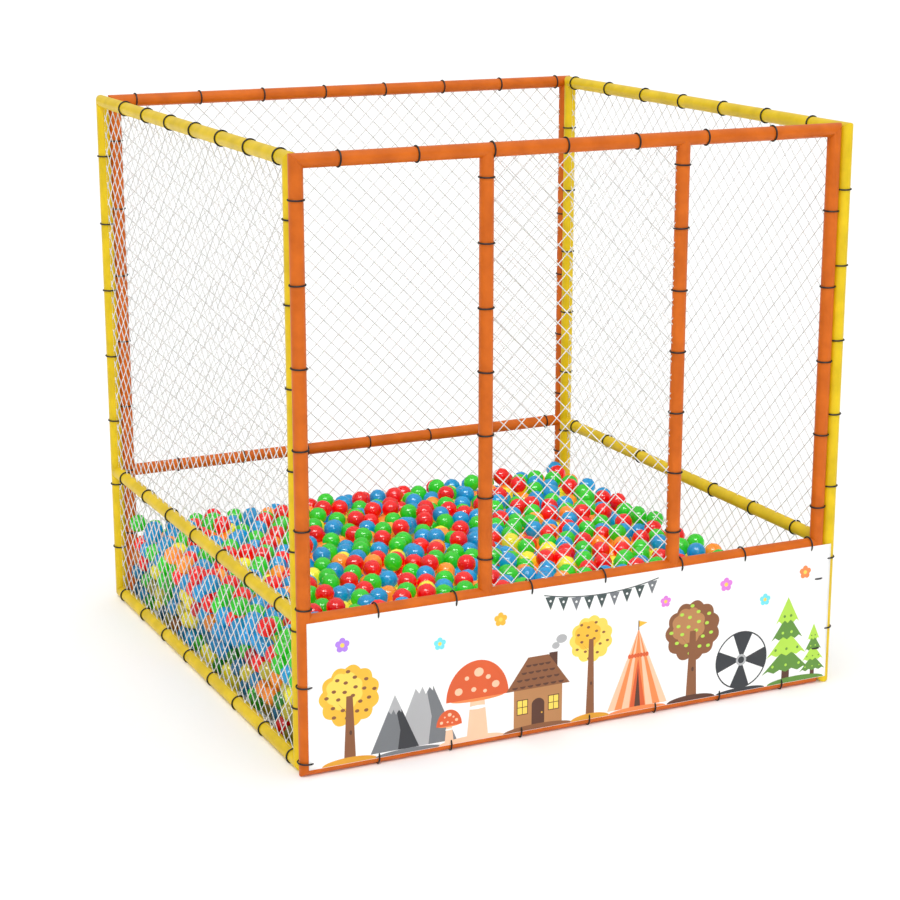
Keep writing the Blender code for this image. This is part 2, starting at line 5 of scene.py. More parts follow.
import bmesh
import bpy
import numpy as np
from mathutils import Matrix, Vector, noise
from mathutils.geometry import delaunay_2d_cdt


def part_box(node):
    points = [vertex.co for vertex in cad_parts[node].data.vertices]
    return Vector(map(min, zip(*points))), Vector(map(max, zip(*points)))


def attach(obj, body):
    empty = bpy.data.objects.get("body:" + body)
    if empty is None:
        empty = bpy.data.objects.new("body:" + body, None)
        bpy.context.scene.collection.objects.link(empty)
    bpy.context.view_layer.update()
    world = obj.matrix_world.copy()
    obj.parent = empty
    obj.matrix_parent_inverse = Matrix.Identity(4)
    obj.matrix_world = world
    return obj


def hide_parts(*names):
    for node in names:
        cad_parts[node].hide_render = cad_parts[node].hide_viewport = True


bl_info = {
    "name": "Ball Pit",
    "version": (1, 0, 0),
    "blender": (4, 5, 0),
    "location": "3D View > Sidebar > Ball Pit",
    "description": "Builds a square ball pit with foam-covered tubes, nets, a printed banner and balls",
    "category": "Object",
}

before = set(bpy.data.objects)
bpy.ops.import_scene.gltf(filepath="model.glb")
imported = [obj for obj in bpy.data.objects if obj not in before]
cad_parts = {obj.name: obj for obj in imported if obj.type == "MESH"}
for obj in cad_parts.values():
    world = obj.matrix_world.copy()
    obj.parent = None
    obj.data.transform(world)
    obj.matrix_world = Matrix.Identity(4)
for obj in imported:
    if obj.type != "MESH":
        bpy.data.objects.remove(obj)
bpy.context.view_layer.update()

X = Vector((1, 0, 0))
Y = Vector((0, 1, 0))
Z = Vector((0, 0, 1))
MM = 0.001
BLACK = "#000000"
WHITE = "#FFFFFF"

# Places read from the frame
LEFT_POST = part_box("front_left_post_sleeve")
MID_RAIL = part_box("front_mid_rail_sleeve")
TOP_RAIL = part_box("front_top_rail_sleeve")
DOOR_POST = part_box("front_right_door_post_sleeve")
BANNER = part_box("front_banner")
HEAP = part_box("ball_bed")
TUBE_RADIUS = (LEFT_POST[1].x - LEFT_POST[0].x) / 2
MIDDLE_Y = (HEAP[0].y + HEAP[1].y) / 2
HALF_SIDE = -LEFT_POST[0].x
PANEL_Y = -HALF_SIDE + TUBE_RADIUS
START_X = -HALF_SIDE + TUBE_RADIUS
END_X = TOP_RAIL[1].x - TUBE_RADIUS
LOW_Z = TUBE_RADIUS
HIGH_Z = TOP_RAIL[1].z - TUBE_RADIUS
MID_Z = (MID_RAIL[0].z + MID_RAIL[1].z) / 2
DOOR_X = (DOOR_POST[0].x + DOOR_POST[1].x) / 2

# The panels: quarter turns from the front one, colour, and the posts at their start and end
PANELS = {
    "front": (0, "orange", ("left", "right")),
    "right": (1, "yellow", ("front", "back")),
    "back": (2, "orange", ("right", "left")),
    "left": (3, "yellow", ("back", "front")),
}

# Where black ties go round each tube, as (first, spacing, count): on rails from the panel's start, on posts
# from the floor. The tubes: posts at start and end, top, middle and bottom rail, left and right door post
TIES = {
    "front": [(0.044, 0.254, 8), (0.133, 0.256, 7), (0.158, 0.255, 7), (0.265, 0.272, 7), (0.264, 0.255, 7)]
    + 2 * [(0.633, 0.2036, 7)],
    "right": [(0.202, 0.2562, 7), (0.22, 0.2555, 7), (0.218, 0.278, 7), (0.217, 0.27, 7), (0.154, 0.255, 8)],
    "back": [(0.12, 0.255, 7), (0.26, 0.255, 7), (0.069, 0.2545, 8), (0.098, 0.272, 7), (0.15, 0.255, 7)],
    "left": [(0.208, 0.2545, 7), (0.214, 0.2575, 7), (0.312, 0.257, 7)]
    + [(0.141, 0.2745, 7), (0.087, 0.2545, 8)],
}
# Each tie sits at its own small angle, at most this many degrees
TIE_TILT = 2.0
# Half the profile of the waist at a tie: distance from it in mm, and share of the waist's depth
WAIST = ((9, 0), (4, 0.35), (1.8, 1))


def metres(name, description, default):
    """A setting in metres."""
    return bpy.props.FloatProperty(name=name, description=description, default=default, unit="LENGTH")


def plain(name, description, default):
    """A setting without a unit."""
    return bpy.props.FloatProperty(name=name, description=description, default=default)


def hex_code(name, description, default):
    """A colour setting."""
    return bpy.props.StringProperty(name=name, description=description, default=default)


class FoamSettings(bpy.types.PropertyGroup):
    """Foam sleeves and their ties."""

    orange: hex_code("Orange", "Skin colour of front and back", "#CC6006")
    yellow: hex_code("Yellow", "Skin colour of the two sides", "#E0BE0C")
    bore: metres("Bore", "Diameter of the hole", 0.0286)
    sides: bpy.props.IntProperty(name="Sides", description="Facets round a sleeve", default=32, min=12)
    seam_depth: metres("Seam Depth", "Depth of the slit", 0.0018)
    waist: metres("Waist", "How far a tie bites", 0.0007)
    banner_clearance: metres("Banner Clearance", "Room for the banner under its ties", 0.0014)
    tie_thickness: metres("Tie Thickness", "Thickness of a tie", 0.0056)


class NetSettings(bpy.types.PropertyGroup):
    """Square-mesh netting, hung on its corners."""

    mesh_width: metres("Mesh Width", "Width of one diamond", 0.0635)
    mesh_height: metres("Mesh Height", "Height of one diamond", 0.0624)
    cord: metres("Cord", "Thickness of the cord", 0.0036)
    knot: metres("Knot", "Size of a knot", 0.0058)
    tip: metres("Tip", "From a rail to the lowest knots", 0.002)
    slack: metres("Slack", "How far cords wander", 0.0025)
    tuck: metres("Tuck", "How far a net goes into foam", 0.003)


class BannerSettings(bpy.types.PropertyGroup):
    """Printed front banner."""

    thickness: metres("Thickness", "Of the cloth", 0.0007)
    ripple: metres("Ripple", "Height of its waves", 0.0016)
    hem: metres("Hem", "Width of its folded hem", 0.018)


class BallSettings(bpy.types.PropertyGroup):
    """Balls of the heap and the loose ones on it."""

    diameter: metres("Diameter", "Of a ball", 0.07)
    seed: bpy.props.IntProperty(name="Seed", description="Which random heap is made", default=7)
    shell: plain("Shell", "Depth to which hidden balls are made, in balls", 1.7)
    disorder: metres("Disorder", "How far balls lie from an even spacing", 0.010)
    freedom: metres("Freedom", "How far a ball may be pushed from its dome", 0.018)
    red: hex_code("Red", "Colour of the red balls", "#EC0406")
    green: hex_code("Green", "Colour of the green balls", "#28C81E")
    blue: hex_code("Blue", "Colour of the blue balls", "#0492CE")
    orange: hex_code("Orange", "Colour of the orange balls", "#FF9626")
    yellow: hex_code("Yellow", "Colour of the yellow balls", "#F2E632")


class StageSettings(bpy.types.PropertyGroup):
    """Floor, lights and camera."""

    floor_radius: metres("Floor", "Radius of the floor", 90)
    zenith: plain("Zenith", "Light from straight above", 1.2)
    horizon: plain("Horizon", "Light from the horizon", 0.38)
    lamps: plain("Lamps", "Strength of the two lamps", 0.68)
    gleams: plain("Gleams", "Strength of the two softboxes", 1.6)
    lens: plain("Lens", "Focal length in millimetres", 86.27)


def channels(code):
    """Red, green and blue of a hex colour, from 0 to 255."""
    return [int(code[k : k + 2], 16) for k in (1, 3, 5)]


def linear(code):
    """An sRGB hex colour as linear red, green, blue and alpha."""
    parts = [c / 255 for c in channels(code)]
    return (*(c / 12.92 if c <= 0.04045 else ((c + 0.055) / 1.055) ** 2.4 for c in parts), 1)


def per_metre(size_mm):
    """Texture scale at which one feature is that many millimetres wide."""
    return 1 / (size_mm * MM)


def connect(material, node, inputs):
    """Set inputs of a node to values, or link them to outputs; underscores stand for spaces."""
    for name, value in inputs.items():
        socket = node.inputs[name.replace("_", " ") if isinstance(name, str) else name]
        if isinstance(value, bpy.types.NodeSocket):
            material.node_tree.links.new(value, socket)
        else:
            socket.default_value = value


def add_node(material, kind, output, *values, stops=(), **named):
    """Add a shader node and give one of its outputs.

    Values are for its first inputs. Names in lower case are its settings, and the others are inputs. Stops
    are the positions and hex colours of a colour ramp.
    """
    node = material.node_tree.nodes.new("ShaderNode" + kind)
    for name in filter(str.islower, named):
        setattr(node, name, named[name])
    for k, (position, code) in enumerate(stops):
        elements = node.color_ramp.elements
        element = elements[k] if k < len(elements) else elements.new(position)
        element.position = position
        element.color = linear(code)
    connect(material, node, {name: value for name, value in named.items() if not name.islower()})
    connect(material, node, dict(enumerate(values)))
    return node.outputs[output]


def new_material(name):
    """A material with the usual shader."""
    material = bpy.data.materials.new(name)
    material.use_nodes = True
    return material


def set_shader(material, **inputs):
    """Set or link inputs of a material's shader."""
    connect(material, material.node_tree.nodes["Principled BSDF"], inputs)
    return material


def mixed(code, other, share):
    """A hex colour part of the way to another one."""
    return "#" + "".join(f"{round(a + (b - a) * share):02X}" for a, b in zip(channels(code), channels(other)))


def foam_skin(name, code):
    """Vinyl skin on extruded polyethylene foam: a satin sheen, soft dents, and faint clouds of colour."""
    material = new_material(name)
    place = add_node(material, "TexCoord", "Object")
    clouds = add_node(material, "TexNoise", "Fac", Vector=place, Scale=per_metre(70), Detail=3.0)
    stops = [(0.3, mixed(code, BLACK, 0.09)), (0.7, mixed(code, WHITE, 0.03))]
    colour = add_node(material, "ValToRGB", "Color", clouds, stops=stops)
    soft = add_node(material, "TexNoise", "Fac", Vector=place, Scale=per_metre(24), Detail=2.0)
    dents = add_node(material, "Bump", "Normal", Height=soft, Strength=0.35, Distance=1.2 * MM)
    fine = add_node(material, "TexNoise", "Fac", Vector=place, Scale=per_metre(2.5), Detail=1.0)
    grain = add_node(material, "Bump", "Normal", Height=fine, Strength=0.25, Distance=0.12 * MM, Normal=dents)
    set_shader(material, Base_Color=colour, Roughness=0.4, IOR=1.45, Specular_IOR_Level=0.3, Normal=grain)
    # Painted light: the skin glows a little in its own colour, which lifts its shaded sides
    return set_shader(material, Emission_Color=colour, Emission_Strength=0.09)


def tie_nylon():
    """Moulded black nylon: a dark, slightly warm satin with a fine moulding grain."""
    material = new_material("moulded_black_nylon")
    place = add_node(material, "TexCoord", "Object")
    fine = add_node(material, "TexNoise", "Fac", Vector=place, Scale=per_metre(1.5))
    grain = add_node(material, "Bump", "Normal", Height=fine, Strength=0.3, Distance=0.1 * MM)
    return set_shader(material, Base_Color=linear("#080604"), Roughness=0.5, IOR=1.45, Normal=grain)


def net_cord():
    """Braided white polypropylene cord: a bright matt thread with the diagonal ribs of its braid."""
    material = new_material("braided_polypropylene")
    waves = {"Scale": per_metre(2.4) / (2 * pi), "Distortion": 0.8, "bands_direction": "DIAGONAL"}
    braid = add_node(material, "TexWave", "Fac", add_node(material, "TexCoord", "Object"), **waves)
    # Painted shade: the braid's grooves, its low places, are coloured darker than its ribs
    colour = add_node(material, "ValToRGB", "Color", braid, stops=[(0.2, "#C6C6C3"), (0.8, "#ECECEA")])
    ribs = add_node(material, "Bump", "Normal", Height=braid, Strength=0.5, Distance=0.3 * MM)
    set_shader(material, Base_Color=colour, Roughness=0.7, IOR=1.49, Normal=ribs)
    # Painted light: the cord glows a little in near white
    return set_shader(material, Emission_Color=linear("#F4F4F2"), Emission_Strength=0.07)


def printed_cloth(name, code):
    """Ink on vinyl-coated polyester: flat colour with a low sheen, over the shallow squares of the scrim."""
    material = new_material(name)
    place = add_node(material, "TexCoord", "Object")
    clouds = add_node(material, "TexNoise", "Fac", Vector=place, Scale=per_metre(160), Detail=2.0)
    stops = [(0.3, mixed(code, BLACK, 0.03)), (0.7, code)]
    colour = add_node(material, "ValToRGB", "Color", clouds, stops=stops)
    # The real scrim is finer, about 1 mm, and is drawn three times as coarse so that it shows
    scale = per_metre(3) / (2 * pi)
    threads = [add_node(material, "TexWave", "Fac", place, scale, bands_direction=way) for way in ("X", "Z")]
    scrim = add_node(material, "Math", "Value", *threads, operation="ADD")
    weave = add_node(material, "Bump", "Normal", Height=scrim, Strength=0.12, Distance=0.1 * MM)
    return set_shader(material, Base_Color=colour, Roughness=0.5, IOR=1.5, Normal=weave)


def ball_plastic(name, code):
    """Blow-moulded polyethylene: saturated and glossy, no two balls quite alike, with a faint mould seam."""
    if name in bpy.data.materials:
        return bpy.data.materials[name]
    material = new_material(name)
    # The shade value gives each ball its own random tone, plus painted shade that darkens balls low in the
    # heap
    shade = add_node(material, "Attribute", "Fac", attribute_name="ball_shade")
    dark, middling, light = mixed(code, BLACK, 0.65), mixed(code, BLACK, 0.05), mixed(code, WHITE, 0.015)
    stops = [(0.0, dark), (0.5, middling), (1.0, light)]
    colour = add_node(material, "ValToRGB", "Color", shade, stops=stops)
    # Places on a ball are in its radii, so the seam's bead is about 0.8 mm wide
    place = add_node(material, "Attribute", "Vector", attribute_name="ball_place")
    height = add_node(material, "SeparateXYZ", "Z", place)
    away = add_node(material, "Math", "Value", height, operation="ABSOLUTE")
    seam = add_node(material, "MapRange", "Result", away, From_Min=0.008, From_Max=0.024, To_Min=1, To_Max=0)
    soft = add_node(material, "TexNoise", "Fac", Vector=place, Scale=3.5, Detail=1.0)
    skin = add_node(material, "Bump", "Normal", Height=soft, Strength=0.12, Distance=0.6 * MM)
    bead = add_node(material, "Bump", "Normal", Height=seam, Strength=0.5, Distance=0.25 * MM, Normal=skin)
    set_shader(material, Base_Color=colour, Roughness=0.15, IOR=1.51, Specular_IOR_Level=0.55, Normal=bead)
    # The thin hollow wall lets light through, from the sunlit side and from the balls around
    set_shader(material, Subsurface_Weight=0.4, Subsurface_Radius=(1, 1, 1), Subsurface_Scale=18 * MM)
    # Painted light: the balls glow in their own colour, most just under the top layer, less at the very top
    # and low in the heap
    level = add_node(material, "SeparateXYZ", "Z", add_node(material, "TexCoord", "Object"))
    rise = {"From_Min": 0.13, "From_Max": 0.26, "To_Min": 0.02, "To_Max": 0.27}
    fall = {"From_Min": 0.26, "From_Max": 0.34, "To_Min": 0.27, "To_Max": 0.12}
    parts = [add_node(material, "MapRange", "Result", level, **ends) for ends in (rise, fall)]
    glow = add_node(material, "Math", "Value", *parts, operation="MINIMUM")
    return set_shader(material, Emission_Color=colour, Emission_Strength=glow)


def zinc_coat(name, spangle_mm, roughness):
    """Zinc on steel: a cool grey metal whose crystals each catch the light a little differently."""
    material = new_material(name)
    place = add_node(material, "TexCoord", "Object")
    crystals = add_node(material, "TexVoronoi", "Distance", Vector=place, Scale=per_metre(spangle_mm))
    colour = add_node(material, "ValToRGB", "Color", crystals, stops=[(0.0, "#A9AEB2"), (1.0, "#C9CDCF")])
    rough = add_node(material, "MapRange", "Result", crystals, To_Min=roughness, To_Max=roughness + 0.15)
    return set_shader(material, Base_Color=colour, Metallic=1.0, Roughness=rough)


def new_object(name, bm, *materials):
    """An object of a bmesh with its materials; the bmesh is freed."""
    mesh = bpy.data.meshes.new(name)
    bm.to_mesh(mesh)
    bm.free()
    for material in materials:
        mesh.materials.append(material)
    item = bpy.data.objects.new(name, mesh)
    bpy.context.scene.collection.objects.link(item)
    return item


def finish_piece(name, bm, materials, slot_name, replaced, body="pit", crease=40):
    """A finished object, sharp over a crease in degrees, attached to its body, with the nodes it replaces
    hidden; the slot name is not used.
    """
    piece = new_object(name, bm, *materials)
    piece.data.shade_smooth()
    piece.data.set_sharp_from_angle(angle=radians(crease))
    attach(piece, body)
    if replaced:
        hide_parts(*replaced)
    return piece


def add_copies(bm, one, matrices, layer_name=None, values=()):
    """Add a copy of one bmesh at each matrix, with its own value in a number layer, and free it."""
    mesh = bpy.data.meshes.new("copied")
    one.to_mesh(mesh)
    one.free()
    last = Matrix.Identity(4)
    for k, matrix in enumerate(matrices):
        mesh.transform(matrix @ last.inverted())
        last = matrix
        if layer_name:
            mesh.attributes[layer_name].data.foreach_set("value", [values[k]] * len(mesh.vertices))
        bm.from_mesh(mesh)
    bpy.data.meshes.remove(mesh)


def panel_place(side, origin, along, inward):
    """The matrix that turns X to along and Y to inward at an origin on the front panel, carried to a side."""
    turn = Matrix((along, inward, along.cross(inward))).transposed().to_4x4()
    to_side = Matrix.Translation((0, MIDDLE_Y, 0)) @ Matrix.Rotation(PANELS[side][0] * pi / 2, 4, "Z")
    return to_side @ Matrix.Translation(origin) @ turn


def tie_places(name, first, spacing, count):
    """Distances of a tube's ties from the start of its middle line."""
    if name.endswith("rail"):
        start = HALF_SIDE + START_X
    else:
        start = MID_Z if "door" in name else LOW_Z
    places = [first + k * spacing - start for k in range(count)]
    if name == "front_mid_rail":
        clear = TUBE_RADIUS + 3 * MM
        for post in (-DOOR_X - START_X, DOOR_X - START_X):
            places = [post + clear * (1 if p > post else -1) if abs(p - post) < clear else p for p in places]
    return places


def tubes(side):
    """The tubes of one panel: name, matrix, length, how its ends are cut, and places of its ties."""
    first_post, last_post = PANELS[side][2]
    span, rise = END_X - START_X, HIGH_Z - LOW_Z
    made = [
        (f"{first_post}_post", START_X, LOW_Z, Z, X, rise, "mitred"),
        (f"{last_post}_post", END_X, LOW_Z, Z, -X, rise, "mitred"),
        ("top_rail", START_X, HIGH_Z, X, -Z, span, "mitred"),
        ("mid_rail", START_X, MID_Z, X, Z, span, "coped"),
        ("bottom_rail", START_X, LOW_Z, X, Z, span, "mitred"),
        ("left_door_post", -DOOR_X, MID_Z, Z, X, HIGH_Z - MID_Z, "coped"),
        ("right_door_post", DOOR_X, MID_Z, Z, -X, HIGH_Z - MID_Z, "coped"),
    ]
    for (name, x, z, along, inward, length, cut), ties in zip(made, TIES[side]):
        name = f"{side}_{name}"
        yield name, panel_place(side, (x, PANEL_Y, z), along, inward), length, cut, tie_places(name, *ties)


def spin_round(bm, outline, steps):
    """Turn an outline once round the X axis."""
    bmesh.ops.spin(bm, geom=outline, cent=(0, 0, 0), axis=X, angle=2 * pi, steps=steps, use_merge=True)


def foam_sleeve(settings, length, cut, ties):
    """One foam sleeve along X: a spun profile with a waist at each tie, a slit seam and cut ends."""
    ease = 0.5 * MM
    narrow = TUBE_RADIUS - ease
    stations = {0.0: narrow, ease: TUBE_RADIUS, length - ease: TUBE_RADIUS, length: narrow}
    for place in ties:
        for offset, share in WAIST:
            for x in (place - offset * MM, place + offset * MM):
                stations[x] = TUBE_RADIUS - share * settings.waist
    bore = settings.bore / 2
    bm = bmesh.new()
    outline = [bm.verts.new((x, stations[x], 0)) for x in sorted(stations)]
    outline += [bm.verts.new((length, bore, 0)), bm.verts.new((0, bore, 0))]
    for near, after in zip(outline, outline[1:] + outline[:1]):
        bm.edges.new((near, after))
    spin_round(bm, bm.verts[:] + bm.edges[:], settings.sides)
    step = 2 * pi / settings.sides
    seam_angle = 1.6 * MM / TUBE_RADIUS
    gap = 0.1 * MM
    for v in bm.verts:
        radius, angle = hypot(v.co.y, v.co.z), np.arctan2(v.co.z, v.co.y)
        number = round(angle / step)
        if radius > bore + ease:
            if number == 0:
                radius -= settings.seam_depth
            if abs(number) == 1:
                angle = number * seam_angle
            v.co.y, v.co.z = radius * cos(angle), radius * sin(angle)
        if cut == "mitred":
            inset = v.co.y + gap
        else:
            inset = sqrt(TUBE_RADIUS**2 - min(abs(v.co.z), TUBE_RADIUS) ** 2) + gap
        if v.co.x < 2 * ease:
            v.co.x += inset
        elif v.co.x > length - 2 * ease:
            v.co.x -= inset
    bmesh.ops.recalc_face_normals(bm, faces=bm.faces[:])
    return bm


class PIT_OT_foam(bpy.types.Operator):
    """Make the foam sleeves of all the tubes"""

    bl_idname = "pit.foam"
    bl_label = "Foam Sleeves"

    def execute(self, context):
        settings = context.scene.pit_foam
        skins = {c: foam_skin(c + "_vinyl_skin", getattr(settings, c)) for c in ("orange", "yellow")}
        for side, (_, colour, _) in PANELS.items():
            for name, place, *shape in tubes(side):
                bm = foam_sleeve(settings, *shape)
                bm.transform(place)
                slot = colour + "_foam"
                piece = finish_piece(name + "_foam", bm, [skins[colour]], slot, [name + "_sleeve"])
        return {"FINISHED"}


def add_tie(bm, settings, matrix, clearance):
    """One tie: a ring round a tube and what lies on it, flattened where it would go into the floor."""
    half = settings.tie_thickness / 2
    before = set(bm.verts)
    made = bmesh.ops.create_circle(bm, segments=6, radius=half)["verts"]
    edges = list({e for v in made for e in v.link_edges})
    bmesh.ops.translate(bm, vec=(0, TUBE_RADIUS + half + clearance, 0), verts=made)
    spin_round(bm, made + edges, steps=28)
    ring = [v for v in bm.verts if v not in before]
    bmesh.ops.transform(bm, matrix=matrix, verts=ring)
    for v in ring:
        v.co.z = max(v.co.z, 0.0)


class PIT_OT_ties(bpy.types.Operator):
    """Make the black ties of each panel, and those that hold the banner"""

    bl_idname = "pit.ties"
    bl_label = "Ties"

    def execute(self, context):
        settings = context.scene.pit_foam
        nylon = tie_nylon()
        groups = {}
        for side in PANELS:
            for name, place, _, _, ties in tubes(side):
                group = "banner_ties" if name == "front_mid_rail" else side + "_ties"
                for k, distance in enumerate(ties):
                    tilt = Matrix.Rotation(radians(TIE_TILT) * sin(2.4 * k + len(name)), 4, "Z")
                    matrix = place @ Matrix.Translation((distance, 0, 0)) @ tilt
                    on_banner = side == "front" and matrix.translation.z < MID_Z + MM
                    clearance = settings.banner_clearance if on_banner else -settings.waist
                    if group not in groups:
                        groups[group] = bmesh.new()
                    add_tie(groups[group], settings, matrix, clearance)
        for group, bm in groups.items():
            bmesh.ops.recalc_face_normals(bm, faces=bm.faces[:])
            nodes = [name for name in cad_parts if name.startswith(group[:-1])]
            finish_piece(group, bm, [nylon], "black_nylon", nodes, crease=80)
        return {"FINISHED"}


# Seed of the cords' wander; 0 would take it from the clock
NET_SEED = 1


def netting(settings, left, right, low, high):
    """One net in its panel's middle plane: a slanted grid, trimmed to its bay, eased, and given cords."""
    width, height = settings.mesh_width, settings.mesh_height
    cells = 2 * (int((right - left + high - low) / (2 * min(width, height))) + 2)
    tip = low + TUBE_RADIUS + settings.tip
    middle = Vector(((left + right) / 2, tip + round((high - low) / (2 * height)) * height, 0))
    bm = bmesh.new()
    bmesh.ops.create_grid(bm, x_segments=cells, y_segments=cells, size=cells / 2)
    stretch = Matrix.Diagonal((width / sqrt(2), height / sqrt(2), 1, 1))
    bm.transform(Matrix.Translation(middle) @ stretch @ Matrix.Rotation(pi / 4, 4, "Z"))
    inset = TUBE_RADIUS - settings.tuck
    for outward, limit in ((-X, -left), (X, right), (-Y, -low), (Y, high)):
        cut = {"plane_co": outward * (limit - inset), "plane_no": outward, "clear_outer": True}
        bmesh.ops.bisect_plane(bm, geom=bm.verts[:] + bm.edges[:] + bm.faces[:], dist=0.1 * MM, **cut)
    for v in bm.verts:
        free = min(v.co.x - left, right - v.co.x, v.co.y - low, high - v.co.y) - inset
        share = min(1.0, max(0.0, free / (2 * width)))
        drift = noise.noise_vector(v.co * 5 + Vector((left, low, 3)))
        sway = noise.noise(v.co * 1.7 + Vector((low, left, 8)))
        v.co += Vector((drift.x, drift.y, drift.z + 3 * sway)) * settings.slack * share
    knots = [Matrix.Translation(v.co) for v in bm.verts if len(v.link_edges) == 4]
    cords = {"thickness": settings.cord, "offset": 0, "use_replace": True, "use_even_offset": True}
    bmesh.ops.wireframe(bm, faces=bm.faces[:], **cords)
    knot = bmesh.new()
    bmesh.ops.create_icosphere(knot, subdivisions=1, radius=settings.knot / 2)
    add_copies(bm, knot, knots)
    return bm


class PIT_OT_nets(bpy.types.Operator):
    """Make the nets of all the bays"""

    bl_idname = "pit.nets"
    bl_label = "Nets"

    def execute(self, context):
        settings = context.scene.pit_net
        noise.seed_set(NET_SEED)
        cord = net_cord()
        bays = [("front", "middle", -DOOR_X, DOOR_X, MID_Z, HIGH_Z)]
        for side in ("right", "back", "left"):
            bays.append((side, "upper", START_X, END_X, MID_Z, HIGH_Z))
            bays.append((side, "lower", START_X, END_X, LOW_Z, MID_Z))
        for side, bay, *limits in bays:
            bm = netting(settings, *limits)
            bm.transform(panel_place(side, (0, PANEL_Y, 0), X, Z))
            name = f"{side}_{bay}_net"
            finish_piece(name + "ting", bm, [cord], "white_net_cord", [name], crease=100)
        return {"FINISHED"}


# Inks of the print, the cloth's own white first
INKS = {
    "cloth_white": "#FBFBFA",
    "sun_yellow": "#F5BC34",
    "pale_yellow": "#FBD95A",
    "honey": "#E09E22",
    "brown": "#8A5632",
    "dark_brown": "#56301F",
    "tan": "#B98250",
    "grey": "#B1B2B4",
    "slate": "#74787C",
    "charcoal": "#303338",
    "green_grey": "#42504F",
    "orange": "#F28C4C",
    "rust": "#DE5C28",
    "peach": "#F9C9A6",
    "leaf_green": "#5F8F36",
    "lime": "#B4E04A",
    "purple": "#B583EE",
    "orchid": "#E07FDC",
    "cyan": "#74E4F0",
}


def polygon(x, y, wide, high, *points):
    """Outline through points given in shares of a motif's width and height, from the middle of its foot."""
    return [(x + wide * a, y + high * b) for a, b in points]


def oval(x, y, wide, high, count=36):
    """Outline of an oval."""
    turns = [2 * pi * k / count for k in range(count)]
    return [(x + wide * cos(t), y + high * sin(t)) for t in turns]


def dome(x, y, wide, high, count=28):
    """Outline of a half oval on a flat base."""
    return oval(x, y, wide, high, 2 * count)[: count + 1]


def block(x, y, wide, high):
    """Outline of an upright oblong from its low left corner."""
    return polygon(x, y, wide, high, (0, 0), (1, 0), (1, 1), (0, 1))


def leafy(x, y, size, lobes, depth):
    """Outline of a round crown with a lobed edge."""
    count = lobes * 8
    turns = [2 * pi * k / count for k in range(count)]
    reach = [size * (1 - depth + depth * abs(sin(lobes * t / 2))) for t in turns]
    return [(x + r * cos(t), y + r * sin(t)) for t, r in zip(turns, reach)]


def scattered(x, y, size, count, ink, wide, high):
    """Small ovals spread evenly over a round crown."""
    places = [(2.4 * k, size * sqrt((k + 0.4) / count)) for k in range(count)]
    return [(ink, oval(x + r * cos(t), y + r * sin(t), wide, high, 12)) for t, r in places]


def flower(x, y, size, ink):
    """Five petals round a middle."""
    turns = [2 * pi * k / 5 + 0.3 for k in range(5)]
    reach, petal = size * 0.58, size * 0.42
    shapes = [(ink, oval(x + reach * cos(t), y + reach * sin(t), petal, petal, 20)) for t in turns]
    return shapes + [("pale_yellow", oval(x, y, size * 0.3, size * 0.3, 16))]


def tree(x, base, high, crown, inks, spots):
    """A tree with a lobed crown, a lit side, a forked trunk and fruits."""
    leaf, lit, fruit = inks
    top = base + high - crown
    trunk = crown * 0.13
    bole = polygon(x, base, trunk, high - crown, (-1.5, 0), (1.5, 0), (0.8, 1), (-0.8, 1))
    return [
        (leaf, leafy(x, top, crown, 11, 0.1)),
        (lit, leafy(x - crown * 0.16, top + crown * 0.18, crown * 0.62, 8, 0.12)),
        *scattered(x, top, crown * 0.84, spots, fruit, crown * 0.075, crown * 0.055),
        ("brown", bole),
        ("brown", polygon(x, top, crown, crown, (-0.45, -0.1), (-0.026, -0.6), (-0.13, -0.5))),
        ("dark_brown", oval(x + trunk * 0.2, base + (high - crown) * 0.42, trunk * 0.35, trunk * 0.6, 14)),
    ]


def fir(x, base, high, wide):
    """A fir of four tiers with toothed edges and round ornaments."""
    shapes = [("dark_brown", block(x - wide * 0.08, base, wide * 0.16, high * 0.2))]
    teeth = 8
    for k in range(4):
        needles, spots = ("lime", "leaf_green") if k % 2 else ("leaf_green", "lime")
        foot = base + high * (0.13 + 0.2 * k)
        half = wide * (0.5 - 0.085 * k)
        edge = [(2 * j / teeth - 1, 0 if j % 2 else -0.035) for j in range(teeth + 1)]
        shapes.append((needles, polygon(x, foot, half, high, *edge, (0, 0.28))))
        for j in range(3 - k // 2):
            place = x + half * 0.55 * (j - (2 - k // 2) / 2)
            shapes.append((spots, oval(place, foot + high * 0.05, wide * 0.026, wide * 0.026, 12)))
    return shapes


def tent(x, base, high, wide):
    """A striped tent with a scalloped edge, an open door and a flag."""

    def wedge(ink, start, end, top=1):
        return ink, polygon(x, base, wide, high, (start, 0), (end, 0), (0, top))

    shapes = [wedge("orange", -0.5, 0.5)]
    shapes += [wedge("peach", start, start + 0.12) for start in (-0.5, -0.26, 0.14, 0.38)]
    shapes += [wedge("rust", -0.13, 0.13, 0.62), wedge("dark_brown", -0.05, 0.05, 0.5)]
    for k in range(-3, 4):
        place = x + wide * 0.17 * k / 3.5
        shapes.append(("rust", oval(place, base + high * 0.66, wide * 0.028, wide * 0.035, 14)))
    shapes.append(("dark_brown", block(x - 2, base + high - 6, 4, 34)))
    return shapes + [("sun_yellow", polygon(x, base + high, 1, 1, (2, 27), (2, 5), (34, 17)))]


